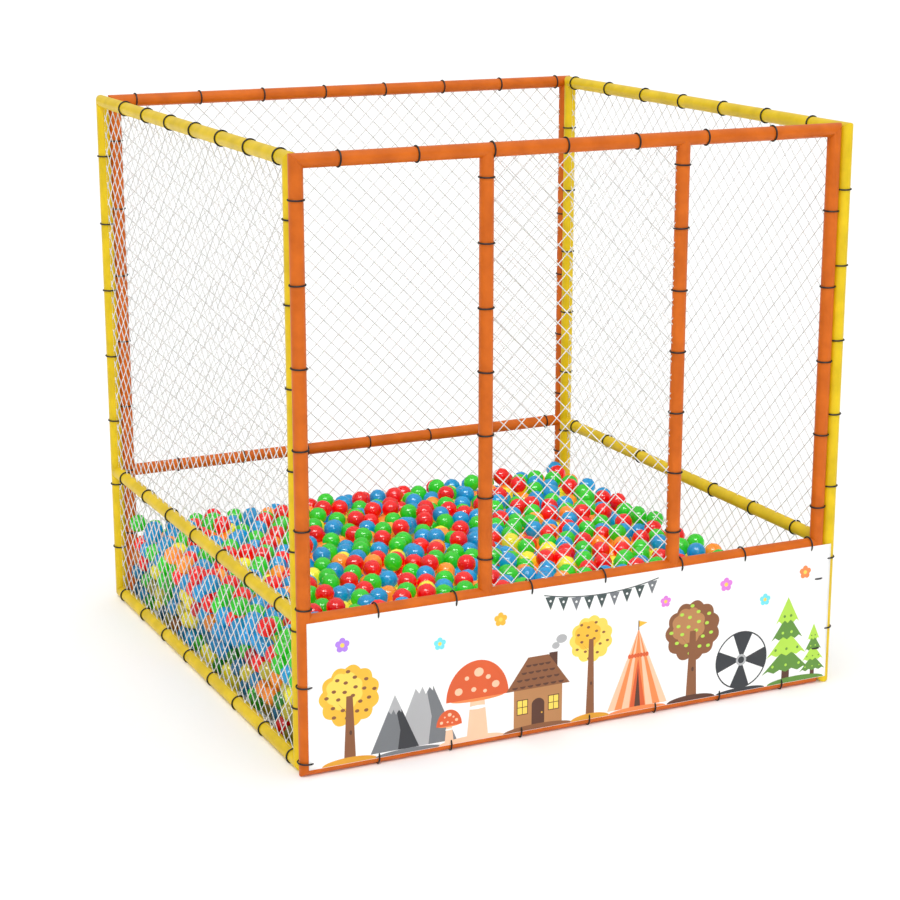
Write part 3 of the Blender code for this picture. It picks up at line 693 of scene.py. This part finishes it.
def toadstool(x, base, high, wide):
    """A spotted toadstool with a collar and a gilled rim."""
    cap = base + high * 0.5
    shapes = [
        ("peach", polygon(x, base, wide, high, (-0.17, 0), (0.17, 0), (0.1, 0.6), (-0.1, 0.6))),
        ("orange", oval(x, cap + high * 0.01, wide * 0.44, high * 0.05)),
        ("rust", dome(x, cap, wide / 2, high * 0.5)),
        ("cloth_white", oval(x, base + high * 0.38, wide * 0.16, high * 0.025, 24)),
    ]
    spots = [(-0.3, 0.62, 0.062), (0.02, 0.84, 0.075), (0.29, 0.65, 0.06), (-0.06, 0.62, 0.04)]
    spots += [(-0.17, 0.78, 0.035), (0.17, 0.76, 0.04), (0.12, 0.58, 0.03)]
    for a, b, r in spots:
        shapes.append(("peach", oval(x + wide * a, base + high * b, wide * r, wide * r * 0.9, 20)))
    return shapes


def cottage(x, base, high, wide):
    """A small house with a tiled roof, lit windows and a smoking chimney."""

    def panel(ink, left, low, width, height, rim=0):
        corner = (x + wide * left - rim, base + high * low - rim)
        return ink, block(*corner, wide * width + 2 * rim, high * height + 2 * rim)

    roof = polygon(x, base, wide, high, (-0.5, 0.5), (0.5, 0.5), (0.16, 0.92), (-0.16, 0.92))
    shapes = [
        ("grey", oval(x + wide * 0.27, base + high * 1.02, wide * 0.06, wide * 0.05, 18)),
        ("grey", oval(x + wide * 0.36, base + high * 1.1, wide * 0.085, wide * 0.065, 18)),
        panel("dark_brown", 0.17, 0.62, 0.13, 0.32),
        panel("tan", -0.38, 0, 0.76, 0.54),
        ("brown", roof),
    ]
    for row in range(4):
        share = (row + 0.5) / 4.6
        height = base + high * (0.5 + 0.42 * share)
        half = wide * (0.46 - 0.34 * share)
        for k in range(7 - row):
            place = x + half * (2 * (k + 0.5) / (7 - row) - 1)
            shapes.append(("dark_brown", dome(place, height, wide * 0.045, -high * 0.03, 8)))
    for left in (-0.32, 0.17):
        shapes.append(panel("dark_brown", left, 0.18, 0.15, 0.18, rim=3))
        for a, b in ((0, 0), (0, 1), (1, 0), (1, 1)):
            shapes.append(panel("pale_yellow", left + 0.08 * a, 0.18 + 0.095 * b, 0.07, 0.085))
    return shapes + [
        ("dark_brown", dome(x, base + high * 0.28, wide * 0.1, high * 0.08)),
        panel("dark_brown", -0.1, 0, 0.2, 0.285),
        ("sun_yellow", oval(x + wide * 0.06, base + high * 0.16, 3, 3, 12)),
    ]


def mountain(x, base, high, wide, ink, shade, cap):
    """A pointed mountain with a shaded side and a snow cap."""
    ridge = [(0.06, 0), (0.5, 0), (0, 1), (0.05, 0.62), (0.11, 0.35)]
    snow = [(-0.135, 0.73), (-0.08, 0.66), (-0.03, 0.74), (0.02, 0.64), (0.08, 0.72), (0.13, 0.67)]
    parts = ((ink, [(-0.5, 0), (0.5, 0), (0, 1)]), (shade, ridge), (cap, [*snow, (0.135, 0.73), (0, 1)]))
    return [(colour, polygon(x, base, wide, high, *points)) for colour, points in parts]


def play_ball(x, y, size):
    """A ball of dark and light sectors with a bright spot."""
    shapes = [("charcoal", oval(x, y, size, size, 48))]
    for k in range(4):
        turns = [pi * k / 2 + 0.35 + pi * j / 40 for j in range(11)]
        arc = [(cos(t), sin(t)) for t in turns]
        shapes.append(("cloth_white", polygon(x, y, size * 0.95, size * 0.95, (0, 0), *arc)))
    shapes.append(("grey", oval(x, y, size * 0.2, size * 0.2, 24)))
    return shapes + [("charcoal", oval(x, y, size * 0.12, size * 0.12, 20))]


def bunting(left, right, high, dip, count):
    """Small flags on a string."""

    def hang(share):
        return left + (right - left) * share, high - dip * (1 - (2 * share - 1) ** 2)

    inks = ("green_grey", "green_grey", "slate")
    string = [hang(k / 40) for k in range(41)]
    shapes = [("green_grey", string + [(x, y + 4) for x, y in reversed(string)])]
    half = (right - left) / count * 0.4
    for k in range(count):
        x, y = hang((k + 0.5) / count)
        shapes.append((inks[k % 3], polygon(x, y, half, half, (-1, 0), (0, -2.4), (1, 0))))
        shapes.append(("cloth_white", oval(x, y - half * 0.8, half * 0.22, half * 0.22, 12)))
    return shapes


def leftward(outline):
    """An outline that runs anticlockwise, whichever way it was drawn."""
    ends = zip(outline, outline[1:] + outline[:1])
    return outline if sum(a[0] * b[1] - b[0] * a[1] for a, b in ends) > 0 else outline[::-1]


# The ground under the motifs: middle, half width, height and ink
GROUND = (
    (140, 96, 20, "honey"),
    (345, 118, 15, "slate"),
    (570, 120, 18, "peach"),
    (812, 128, 18, "brown"),
    (1008, 74, 20, "honey"),
    (1190, 112, 15, "orange"),
    (1402, 96, 20, "dark_brown"),
    (1600, 100, 14, "charcoal"),
    (1828, 118, 20, "leaf_green"),
)
# The flowers above them: place, size and ink
FLOWERS = (
    (118, 400, 25, "purple"),
    (455, 352, 22, "cyan"),
    (672, 402, 24, "sun_yellow"),
    (1292, 372, 21, "orchid"),
    (1530, 398, 25, "orchid"),
    (1688, 322, 22, "cyan"),
    (1850, 398, 24, "orange"),
)


def print_shapes():
    """The printed design, in millimetres from the cloth's low left corner, later shapes over earlier ones."""
    shapes = [
        *tree(140, 14, 318, 104, ("sun_yellow", "pale_yellow", "brown"), 22),
        *mountain(400, 16, 272, 230, "grey", "slate", "cloth_white"),
        *mountain(296, 16, 190, 170, "slate", "charcoal", "grey"),
        *toadstool(590, 14, 262, 226),
        *toadstool(488, 12, 110, 92),
        *cottage(812, 14, 262, 236),
        *tree(1008, 14, 352, 82, ("pale_yellow", "sun_yellow", "brown"), 16),
        *tent(1190, 14, 278, 232),
        *tree(1402, 14, 346, 108, ("brown", "tan", "lime"), 20),
        *play_ball(1600, 116, 104),
        *fir(1785, 14, 300, 196),
        *fir(1897, 12, 190, 108),
        *bunting(830, 1262, 458, 26, 9),
        *((ink, dome(x, 1, half, tall)) for x, half, tall, ink in GROUND),
        *(shape for spot in FLOWERS for shape in flower(*spot)),
    ]
    return [(ink, leftward(outline)) for ink, outline in shapes]


# Spacing of the cloth's points, and width of the calm rim of its waves
CLOTH_STEP = 22 * MM
CALM_RIM = 90 * MM
# Its waves: height, turns per metre across and up, and start
SWELLS = ((0.5, 7.1, 3.1, 0), (0.5, 4.3, -5.2, 1.7), (0.35, 17, 9, 0.6))


def ripple(settings, x, z, wide, tall):
    """How far the cloth stands in front of its flat place: waves that die out at the edges, and a hem."""
    rim = min(x, wide - x, z, tall - z)
    share = min(1.0, rim / CALM_RIM)
    swell = sum(size * sin(a * x + b * z + c) for size, a, b, c in SWELLS)
    hem = 0.25 * MM if rim < settings.hem else 0.0
    return settings.ripple * share * share * (0.6 + swell) + hem


def cloth_lines(length, hem):
    """Places of lines of points across the cloth, with one along each hem."""
    count = round(length / CLOTH_STEP)
    return sorted([length * k / count for k in range(count + 1)] + [hem, length - hem])


class PIT_OT_banner(bpy.types.Operator):
    """Make the printed banner"""

    bl_idname = "pit.banner"
    bl_label = "Banner"

    def execute(self, context):
        settings = context.scene.pit_banner
        low, high = BANNER
        wide, tall = high.x - low.x, high.z - low.z
        shapes = print_shapes()
        points, outlines = [], []
        for _, outline in shapes:
            outlines.append(list(range(len(points), len(points) + len(outline))))
            points += [Vector((x * MM, y * MM)) for x, y in outline]
        across = cloth_lines(wide, settings.hem)
        points += [Vector((x, z)) for z in cloth_lines(tall, settings.hem) for x in across]
        places, _, faces, _, _, owners = delaunay_2d_cdt(points, [], outlines, 0, 0.02 * MM, True)
        bm = bmesh.new()
        for p in places:
            bm.verts.new((low.x + p.x, low.y - ripple(settings, p.x, p.y, wide, tall), low.z + p.y))
        bm.verts.ensure_lookup_table()
        inks = list(INKS)
        for corners, covering in zip(faces, owners):
            face = bm.faces.new([bm.verts[k] for k in corners])
            face.material_index = inks.index(shapes[max(covering)][0]) if covering else 0
        bmesh.ops.recalc_face_normals(bm, faces=bm.faces[:])
        if bm.faces[0].normal.y > 0:
            bmesh.ops.reverse_faces(bm, faces=bm.faces[:])
        names = [name if "cloth" in name else "ink_" + name for name in inks]
        materials = [printed_cloth(name, code) for name, code in zip(names, INKS.values())]
        materials.append(printed_cloth("cloth_back", INKS["cloth_white"]))
        piece = finish_piece("front_banner_cloth", bm, materials, "white_banner", ["front_banner"])
        wall = piece.modifiers.new("cloth_thickness", "SOLIDIFY")
        wall.thickness = settings.thickness
        wall.offset = -1
        wall.material_offset = wall.material_offset_rim = len(materials)
        return {"FINISHED"}


# Colours of the balls, and their shares in the top layer, under it, and in bands down the walls
BALL_COLOURS = ("red", "green", "blue", "orange", "yellow")
TOP_SHARES = (0.25, 0.29, 0.3, 0.1, 0.06)
SECOND_SHARES = (0.1, 0.1, 0.2, 0.4, 0.2)
SIDE_SHARES = ((0.32, 0.33, 0.27, 0.05, 0.03), (0.14, 0.2, 0.13, 0.17, 0.36), (0.05, 0.16, 0.36, 0.1, 0.33))
# Heights between those bands
SIDE_BANDS = (0.24, 0.11)
# How much higher the top layer's balls lie than their domes, for each colour
TOP_LIFTS = (0.007, 0.001, -0.006, -0.018, -0.020)
# For the heap's top, right, left, back and front: the directions across it, up it and out of it
HEAP_FACES = (
    ((1, 0, 0), (0, 1, 0), (0, 0, 1)),
    ((0, 1, 0), (0, 0, 1), (1, 0, 0)),
    ((0, 1, 0), (0, 0, 1), (-1, 0, 0)),
    ((1, 0, 0), (0, 0, 1), (0, 1, 0)),
    ((1, 0, 0), (0, 0, 1), (0, -1, 0)),
)
# How far the tip of a dome stands out from the points round it
DOME_RISE = 8 * MM
# Rounds of pushing balls apart, and how close they may end, in diameters
ROUNDS = 24
CLOSEST = 0.92
# Spots for a hidden ball in one diameter, each way
SPOTS = 8
# Height of a spot on which no ball may lie
CLOSED = -9.0


def clamped(point, radius):
    """Middle of the ball that reaches out to a point of the heap's outline."""
    low, high = HEAP
    x = min(max(point.x, low.x + radius), high.x - radius)
    return Vector((x, min(max(point.y, low.y + radius), high.y - radius), point.z))


def domed_balls(radius):
    """Centres of the balls that the heap's solid shows as domes: on its top, and along the walls."""
    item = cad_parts["ball_bed"]
    bm = bmesh.new()
    bm.from_mesh(item.data)
    bm.transform(item.matrix_world)
    bmesh.ops.remove_doubles(bm, verts=bm.verts[:], dist=0.01 * MM)
    top, side = [], []
    for v in bm.verts:
        middle = clamped(v.co, radius)
        reach = (v.co - middle).length
        others = [e.other_vert(v).co for e in v.link_edges]
        if all(v.co.z - p.z > DOME_RISE for p in others):
            top.append(middle - Vector((0, 0, radius)))
        elif all(reach - (p - clamped(p, radius)).length > DOME_RISE for p in others):
            side.append(middle)
    bm.free()
    return np.array(top), np.array(side)


def surface(places, top):
    """Height of the nearest ball of the top layer at each place."""
    return np.array([top[np.argmin(((top[:, :2] - p) ** 2).sum(1)), 2] for p in places])


def jostle(settings, balls, fixed):
    """Shift balls at random, push them apart near their places, and leave out those that still clash."""
    draw = np.random.default_rng(settings.seed)
    diameter = settings.diameter
    low, high = (np.array(corner) for corner in HEAP)
    places = balls
    balls = places + draw.normal(0, settings.disorder, places.shape)
    for _ in range(ROUNDS):
        apart = balls[:, None] - np.vstack([balls, fixed])[None]
        gap = np.sqrt((apart**2).sum(2))
        np.fill_diagonal(gap, diameter)
        push = np.maximum(diameter - gap, 0) / np.maximum(gap, MM)
        push[:, : len(balls)] /= 2
        away = balls + (apart * push[:, :, None]).sum(1) - places
        far = np.maximum(np.sqrt((away**2).sum(1)) / settings.freedom, 1)
        balls = places + away / far[:, None]
        balls = np.clip(balls, low + diameter / 2, (*(high[:2] - diameter / 2), high[2]))
    kept = []
    for k, place in enumerate(balls):
        gap = np.sqrt(((np.vstack([fixed, balls[kept]]) - place) ** 2).sum(1))
        if gap.min() > CLOSEST * diameter:
            kept.append(k)
    return balls[kept], kept


def highest_free(spots, limits, balls, diameter):
    """Highest level at which a ball over each spot cuts no other."""
    flat = ((spots[:, None] - balls[None, :, :2]) ** 2).sum(2)
    half = np.sqrt(np.maximum(diameter**2 - flat, 0))
    level = limits
    while True:
        hit = abs(level[:, None] - balls[None, :, 2]) < half - 0.001 * MM
        if not hit.any():
            return level
        level = np.where(hit, balls[None, :, 2] - half, level[:, None]).min(1)


def fill(settings, balls, axes, top):
    """Centres of balls that fill the holes behind a face's outer ones, the most forward place first."""
    diameter = settings.diameter
    corners = np.array([np.array(HEAP[0]) + diameter / 2, np.array(HEAP[1]) - diameter / 2]) @ axes.T
    low, high = corners.min(0), corners.max(0)
    step = diameter / SPOTS
    columns, rows = ((high - low) / step).astype(int)[:2]
    across = np.linspace(low[0], high[0], columns)
    up = np.linspace(low[1], high[1], rows)
    spots = np.stack(np.meshgrid(across, up, indexing="ij"), 2)
    if axes[2, 2]:
        limits = surface(spots.reshape(-1, 2), top).reshape(columns, rows)
    else:
        edge = np.stack([across, np.full(columns, 0), np.full(columns, high[2])], 1) @ axes
        limits = np.where(spots[:, :, 1] > surface(edge[:, :2], top)[:, None], CLOSED, high[2])
    deepest = np.where(limits > CLOSED, limits - settings.shell * diameter, np.inf)
    levels = np.where(limits > CLOSED, limits, -np.inf)
    placed = balls @ axes.T
    made = []

    def refresh(i, j, reach):
        part = (slice(max(i - reach, 0), i + reach + 1), slice(max(j - reach, 0), j + reach + 1))
        near = placed[(abs(placed[:, :2] - spots[i, j]) < (reach * step + diameter)).all(1)]
        if len(near):
            found = highest_free(spots[part].reshape(-1, 2), limits[part].ravel(), near, diameter)
            found = found.reshape(limits[part].shape)
            levels[part] = np.where(found > deepest[part], found, -np.inf)

    # All spots once, in squares, and then those that each new ball can touch
    square, half = SPOTS + 1, SPOTS // 2
    for i in range(half, columns + half, square):
        for j in range(half, rows + half, square):
            refresh(min(i, columns - 1), min(j, rows - 1), half + 1)
    while np.isfinite(levels.max()):
        i, j = np.unravel_index(np.argmax(levels), levels.shape)
        made.append(np.append(spots[i, j], levels[i, j]))
        placed = np.vstack([placed, made[-1]])
        refresh(i, j, square)
    return np.array(made).reshape(-1, 3) @ axes


def side_inks(draw, places):
    """Numbers of the colours of balls along a wall, drawn by their height."""
    bands = [sum(place[2] < height for height in SIDE_BANDS) for place in places]
    return [draw.choice(len(BALL_COLOURS), p=SIDE_SHARES[band]) for band in bands]


def loose_balls():
    """Node name and centre of each loose ball."""
    names = sorted(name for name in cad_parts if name.startswith("loose_ball"))
    return {name: sum(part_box(name), Vector()) / 2 for name in names}


def make_balls(settings, name, colour, matrices, shades, segments, slot_name, node, body="pit"):
    """A piece of balls of one colour, with each ball's shade and each point's place on its own ball."""
    radius = settings.diameter / 2
    one = bmesh.new()
    bmesh.ops.create_uvsphere(one, u_segments=segments, v_segments=segments // 2, radius=radius)
    one.verts.layers.float.new("ball_shade")
    place_layer = one.verts.layers.float_vector.new("ball_place")
    for v in one.verts:
        v[place_layer] = v.co / radius
    bm = bmesh.new()
    add_copies(bm, one, matrices, "ball_shade", shades)
    plastic = ball_plastic(colour + "_polyethylene", getattr(settings, colour))
    finish_piece(name, bm, [plastic], slot_name, [node], body=body, crease=100)


class PIT_OT_heap(bpy.types.Operator):
    """Settle the heap of balls and make it, one piece for each colour"""

    bl_idname = "pit.heap"
    bl_label = "Ball Heap"

    def execute(self, context):
        settings = context.scene.pit_ball
        draw = np.random.default_rng(settings.seed + 1)
        loose = np.array([tuple(c) for c in loose_balls().values()])
        top, side = domed_balls(settings.diameter / 2)
        inks = []
        # A colour is half as likely again for each ball of it nearby
        nearby = (1.4 * settings.diameter) ** 2
        for k, place in enumerate(top):
            near = [inks[n] for n in np.flatnonzero(((top[:k] - place) ** 2).sum(1) < nearby)]
            chances = np.array([share * 0.5 ** near.count(n) for n, share in enumerate(TOP_SHARES)])
            inks.append(draw.choice(len(BALL_COLOURS), p=chances / chances.sum()))
        raised = top + [(0, 0, TOP_LIFTS[n]) for n in inks]
        inks += side_inks(draw, side)
        outer, kept = jostle(settings, np.vstack([raised, side]), loose)
        balls = np.vstack([loose, outer])
        inks = [inks[k] for k in kept]
        for axes in HEAP_FACES:
            added = fill(settings, balls, np.array(axes), top)
            balls = np.vstack([balls, added])
            if axes[2][2]:
                inks += list(draw.choice(len(BALL_COLOURS), len(added), p=SECOND_SHARES))
            else:
                inks += side_inks(draw, added)
        groups = [([], []) for _ in BALL_COLOURS]
        for n, place in zip(inks, balls[len(loose) :]):
            turn = Matrix.Rotation(draw.uniform(0, pi), 4, "X") @ Matrix.Rotation(draw.uniform(0, pi), 4, "Y")
            groups[n][0].append(Matrix.Translation(place) @ turn)
            # Painted shade: balls low in the heap get darker shades, on top of each ball's own random tone
            groups[n][1].append(draw.uniform(0, 0.5) + min(max((place[2] - 0.1) / 0.4, 0), 0.5))
        for colour, group in zip(BALL_COLOURS, groups):
            make_balls(settings, colour + "_balls", colour, *group, 12, "mixed_balls", "ball_bed")
        return {"FINISHED"}


class PIT_OT_loose_balls(bpy.types.Operator):
    """Make the loose balls on top of the heap"""

    bl_idname = "pit.loose_balls"
    bl_label = "Loose Balls"

    def execute(self, context):
        settings = context.scene.pit_ball
        for k, (node, centre) in enumerate(loose_balls().items()):
            colour, number = node.split("_")[2:]
            turn = Matrix.Rotation(1.3 * k, 4, "X") @ Matrix.Rotation(0.7 * k + 0.4, 4, "Y")
            place = [Matrix.Translation(centre) @ turn]
            name, slot = f"{colour}_ball_{number}", colour + "_ball"
            make_balls(settings, name, colour, place, [0.5], 32, slot, node, body=node)
        return {"FINISHED"}


class PIT_OT_steelwork(bpy.types.Operator):
    """Give the tube frames and the corner bolts their finishes"""

    bl_idname = "pit.steelwork"
    bl_label = "Steelwork"

    def execute(self, context):
        galvanised = zinc_coat("hot_dip_galvanised_steel", 14, 0.35)
        plated = zinc_coat("bright_zinc_plate", 3, 0.22)
        for name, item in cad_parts.items():
            for part, coat in (("_steel_frame", galvanised), ("corner_bolt", plated)):
                if part in name:
                    item.material_slots[0].material = coat
        return {"FINISHED"}


def aimed(name, data, down, turn, place=(0, 0, 0)):
    """A lamp or a camera that looks down and is turned from the front by angles in degrees."""
    item = bpy.data.objects.new(name, data)
    item.location = place
    item.rotation_euler = (radians(90 - down), 0, radians(turn))
    bpy.context.scene.collection.objects.link(item)
    return item


def add_lamp(name, azimuth, elevation, width, strength):
    """A far soft lamp, as wide as an angle in degrees; its azimuth turns from the front towards the right."""
    light = bpy.data.lights.new(name, "SUN")
    light.angle = radians(width)
    light.energy = strength
    return aimed(name, light, elevation, azimuth)


# The photo's camera: its place from the middle of the pit, and its turns down and from the front
CAMERA_PLACE = Vector((-3.288, -6.884, 2.729))
CAMERA_TURNS = (14.769, -25.469)


class PIT_OT_stage(bpy.types.Operator):
    """Make the floor, the lights and the camera"""

    bl_idname = "pit.stage"
    bl_label = "Stage"

    def execute(self, context):
        scene = context.scene
        settings = scene.pit_stage
        bm = bmesh.new()
        bmesh.ops.create_circle(bm, cap_ends=True, segments=96, radius=settings.floor_radius)
        bmesh.ops.translate(bm, vec=(0, 0, -0.5 * MM), verts=bm.verts[:])
        white = new_material("matt_white_floor")
        place = add_node(white, "TexCoord", "Object")
        clouds = add_node(white, "TexNoise", "Fac", Vector=place, Scale=per_metre(900))
        colour = add_node(white, "ValToRGB", "Color", clouds, stops=[(0.3, "#FAFAFA"), (0.7, "#FCFCFC")])
        set_shader(white, Base_Color=colour, Roughness=0.9)
        new_object("floor", bm, white)

        scene.world = world = bpy.data.worlds.new("studio")
        world.use_nodes = True
        height = add_node(world, "SeparateXYZ", "Z", add_node(world, "TexCoord", "Generated"))
        light = {"To_Min": settings.horizon, "To_Max": settings.zenith}
        level = add_node(world, "MapRange", "Result", height, **light)
        connect(world, world.node_tree.nodes["Background"], {"Color": linear(WHITE), "Strength": level})
        add_lamp("high_lamp", -30, 53, 9, settings.lamps)
        # A broad fill from the front, which reaches into the pit
        add_lamp("low_lamp", -8, 20, 7, settings.lamps * 0.8).data.use_shadow = False
        # Two softboxes that only show as gleams on glossy pieces
        for name, azimuth, share in (("left_softbox", -54, 1), ("right_softbox", -4, 0.6)):
            add_lamp(name, azimuth, 54, 20, settings.gleams * share).visible_diffuse = False

        camera = bpy.data.cameras.new("photo_camera")
        camera.lens = settings.lens
        camera.clip_end = 400
        middle = Vector((0, MIDDLE_Y, 0))
        scene.camera = aimed("photo_camera", camera, *CAMERA_TURNS, CAMERA_PLACE + middle)
        scene.view_settings.view_transform = "Standard"
        return {"FINISHED"}


OPERATORS = (
    PIT_OT_foam,
    PIT_OT_ties,
    PIT_OT_nets,
    PIT_OT_banner,
    PIT_OT_heap,
    PIT_OT_loose_balls,
    PIT_OT_steelwork,
    PIT_OT_stage,
)


class PIT_PT_sidebar(bpy.types.Panel):
    """The steps of the ball pit, in order."""

    bl_label = "Ball Pit"
    bl_idname = "PIT_PT_sidebar"
    bl_space_type = "VIEW_3D"
    bl_region_type = "UI"
    bl_category = "Ball Pit"

    def draw(self, context):
        for operator in OPERATORS:
            self.layout.operator(operator.bl_idname)


GROUPS = {
    "pit_foam": FoamSettings,
    "pit_net": NetSettings,
    "pit_banner": BannerSettings,
    "pit_ball": BallSettings,
    "pit_stage": StageSettings,
}


def register():
    """Register the classes and hang the settings on the scene."""
    for item in (*GROUPS.values(), *OPERATORS, PIT_PT_sidebar):
        bpy.utils.register_class(item)
    for name, group in GROUPS.items():
        setattr(bpy.types.Scene, name, bpy.props.PointerProperty(type=group))


def unregister():
    """Take the settings and the classes away again."""
    for name in GROUPS:
        delattr(bpy.types.Scene, name)
    for item in reversed((*GROUPS.values(), *OPERATORS, PIT_PT_sidebar)):
        bpy.utils.unregister_class(item)


def main():
    """Make every piece in order."""
    register()
    for operator in OPERATORS:
        group, name = operator.bl_idname.split(".")
        getattr(getattr(bpy.ops, group), name)()


if __name__ == "__main__":
    main()
